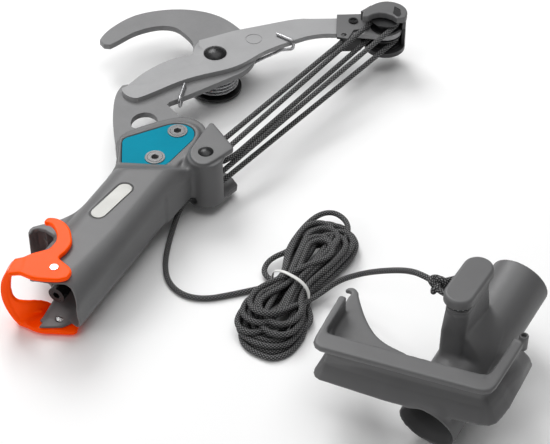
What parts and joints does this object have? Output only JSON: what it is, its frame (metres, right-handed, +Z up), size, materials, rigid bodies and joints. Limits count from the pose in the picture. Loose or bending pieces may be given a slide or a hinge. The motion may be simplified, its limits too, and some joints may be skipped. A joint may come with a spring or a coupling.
{
  "type": "rope-operated pole lopper head with cord and pull handle",
  "caption": "Bypass lopper head for a pole: hook plate, sprung blade lever, rope tackle over sheaves, pole latch, tied pull cord and pull handle.",
  "frame": {"origin": "outer end of the locking stud on the axis of the pole socket", "axes": "+Y from the pole socket towards the blades, +Z up out of the blade plane, +X towards the rope guide and the handle"},
  "size_m": [0.468, 0.4421, 0.1062],
  "materials": {
    "grey_plastic": "moulded dark grey, fine grain",
    "black_plastic": "moulded black",
    "teal_plastic": "satin moulded colour",
    "light_plastic": "bare oval plate",
    "orange_plastic": "glossy moulded colour",
    "hook_steel": "grey coated steel",
    "blade_steel": "light grey coated steel",
    "spring_steel": "drawn wire",
    "black_steel": "blackened steel",
    "washer_steel": "dull zinc",
    "pin_steel": "bright zinc",
    "rope": "braided cord with grey flecks",
    "white_tie": "white tie"
  },
  "bodies": {
    "head": {"housing": "grey_plastic", "rope_guide_block": "grey_plastic", "inlay_plate": "teal_plastic", "badge_plate": "light_plastic", "hook_plate": "hook_steel", "clamp_screws": "washer_steel", "clamp_nuts": "black_steel", "screw_washers": "washer_steel", "locking_stud": "black_steel", "guide_rivet": "black_steel", "guide_spacers": "black_steel", "pivot_bolt": "black_steel", "pivot_spacer": "black_plastic", "spring_washer": "black_plastic", "torsion_spring": "spring_steel", "latch_pins": "pin_steel", "rope_guide_wraps": "rope", "cord_lead": "rope", "cord_hank": "rope", "hank_tie": "white_tie", "cord_tail": "rope"},
    "lever": {"blade_lever": "blade_steel", "sheave_block": "black_plastic", "block_cap_plug": "black_plastic", "block_axle": "black_steel", "yoke_pin": "washer_steel", "rope_wrap_top": "rope", "rope_wrap_low": "rope", "rope_dead_end": "rope", "spring_leg": "spring_steel"},
    "rope_run": {"rope_strand_a": "rope", "rope_strand_b": "rope", "rope_strand_c": "rope", "rope_strand_d": "rope", "rope_strand_e": "rope"},
    "sheave_top": {"lever_sheave_top": "black_plastic"},
    "sheave_low": {"lever_sheave_low": "black_plastic"},
    "roller_top": {"guide_roller_top": "black_plastic"},
    "roller_mid": {"guide_roller_mid": "black_plastic"},
    "roller_low": {"guide_roller_low": "black_plastic"},
    "latch": {"latch": "orange_plastic"},
    "handle": {"handle_flange_top": "grey_plastic", "handle_flange_low": "grey_plastic", "handle_web": "grey_plastic", "handle_gusset": "grey_plastic", "handle_saddle": "grey_plastic", "handle_clip_post": "grey_plastic", "handle_sleeve": "grey_plastic", "cleat_post": "grey_plastic", "cleat_cap": "grey_plastic", "cord_cleat_turn": "rope", "cord_end_knot": "rope"}
  },
  "joints": [
    {"name": "lever_pivot", "type": "hinge", "parent": "head", "child": "lever", "pos_m": [-0.031, 0.304, 0], "axis": [0, 0, -1], "range_deg": [0, 60], "stiffness_Nm_per_rad": 0.6, "springref_deg": -20.05, "deforming": ["torsion_spring"]},
    {"name": "rope_run_swing", "type": "hinge", "parent": "head", "child": "rope_run", "pos_m": [0.033, 0.169, 0], "axis": [0, 0, -1], "range_deg": [0, 31], "deforming": ["rope_strand_a", "rope_strand_b", "rope_strand_c", "rope_strand_d", "rope_strand_e"]},
    {"name": "sheave_top_spin", "type": "hinge", "parent": "lever", "child": "sheave_top", "pos_m": [0.083, 0.404, 0.0123], "axis": [0, 0, 1], "continuous": true},
    {"name": "sheave_low_spin", "type": "hinge", "parent": "lever", "child": "sheave_low", "pos_m": [0.083, 0.404, -0.0041], "axis": [0, 0, 1], "continuous": true},
    {"name": "roller_top_spin", "type": "hinge", "parent": "head", "child": "roller_top", "pos_m": [0.033, 0.169, 0.0134], "axis": [0, 0, 1], "continuous": true},
    {"name": "roller_mid_spin", "type": "hinge", "parent": "head", "child": "roller_mid", "pos_m": [0.033, 0.169, -0.00195], "axis": [0, 0, 1], "continuous": true},
    {"name": "roller_low_spin", "type": "hinge", "parent": "head", "child": "roller_low", "pos_m": [0.033, 0.169, -0.014], "axis": [0, 0, 1], "continuous": true},
    {"name": "latch_swing", "type": "hinge", "parent": "head", "child": "latch", "pos_m": [0.0015, -0.0005, 0], "axis": [0, 0, 1], "range_deg": [0, 35]},
    {"name": "handle_pull", "type": "slide", "parent": "head", "child": "handle", "axis": [1, 0, 0], "range_m": [0, 0.025], "deforming": ["cord_tail"]}
  ],
  "couplings": [
    {"joint": "rope_run_swing", "follows": "lever_pivot", "ratio": 0.511}
  ]
}
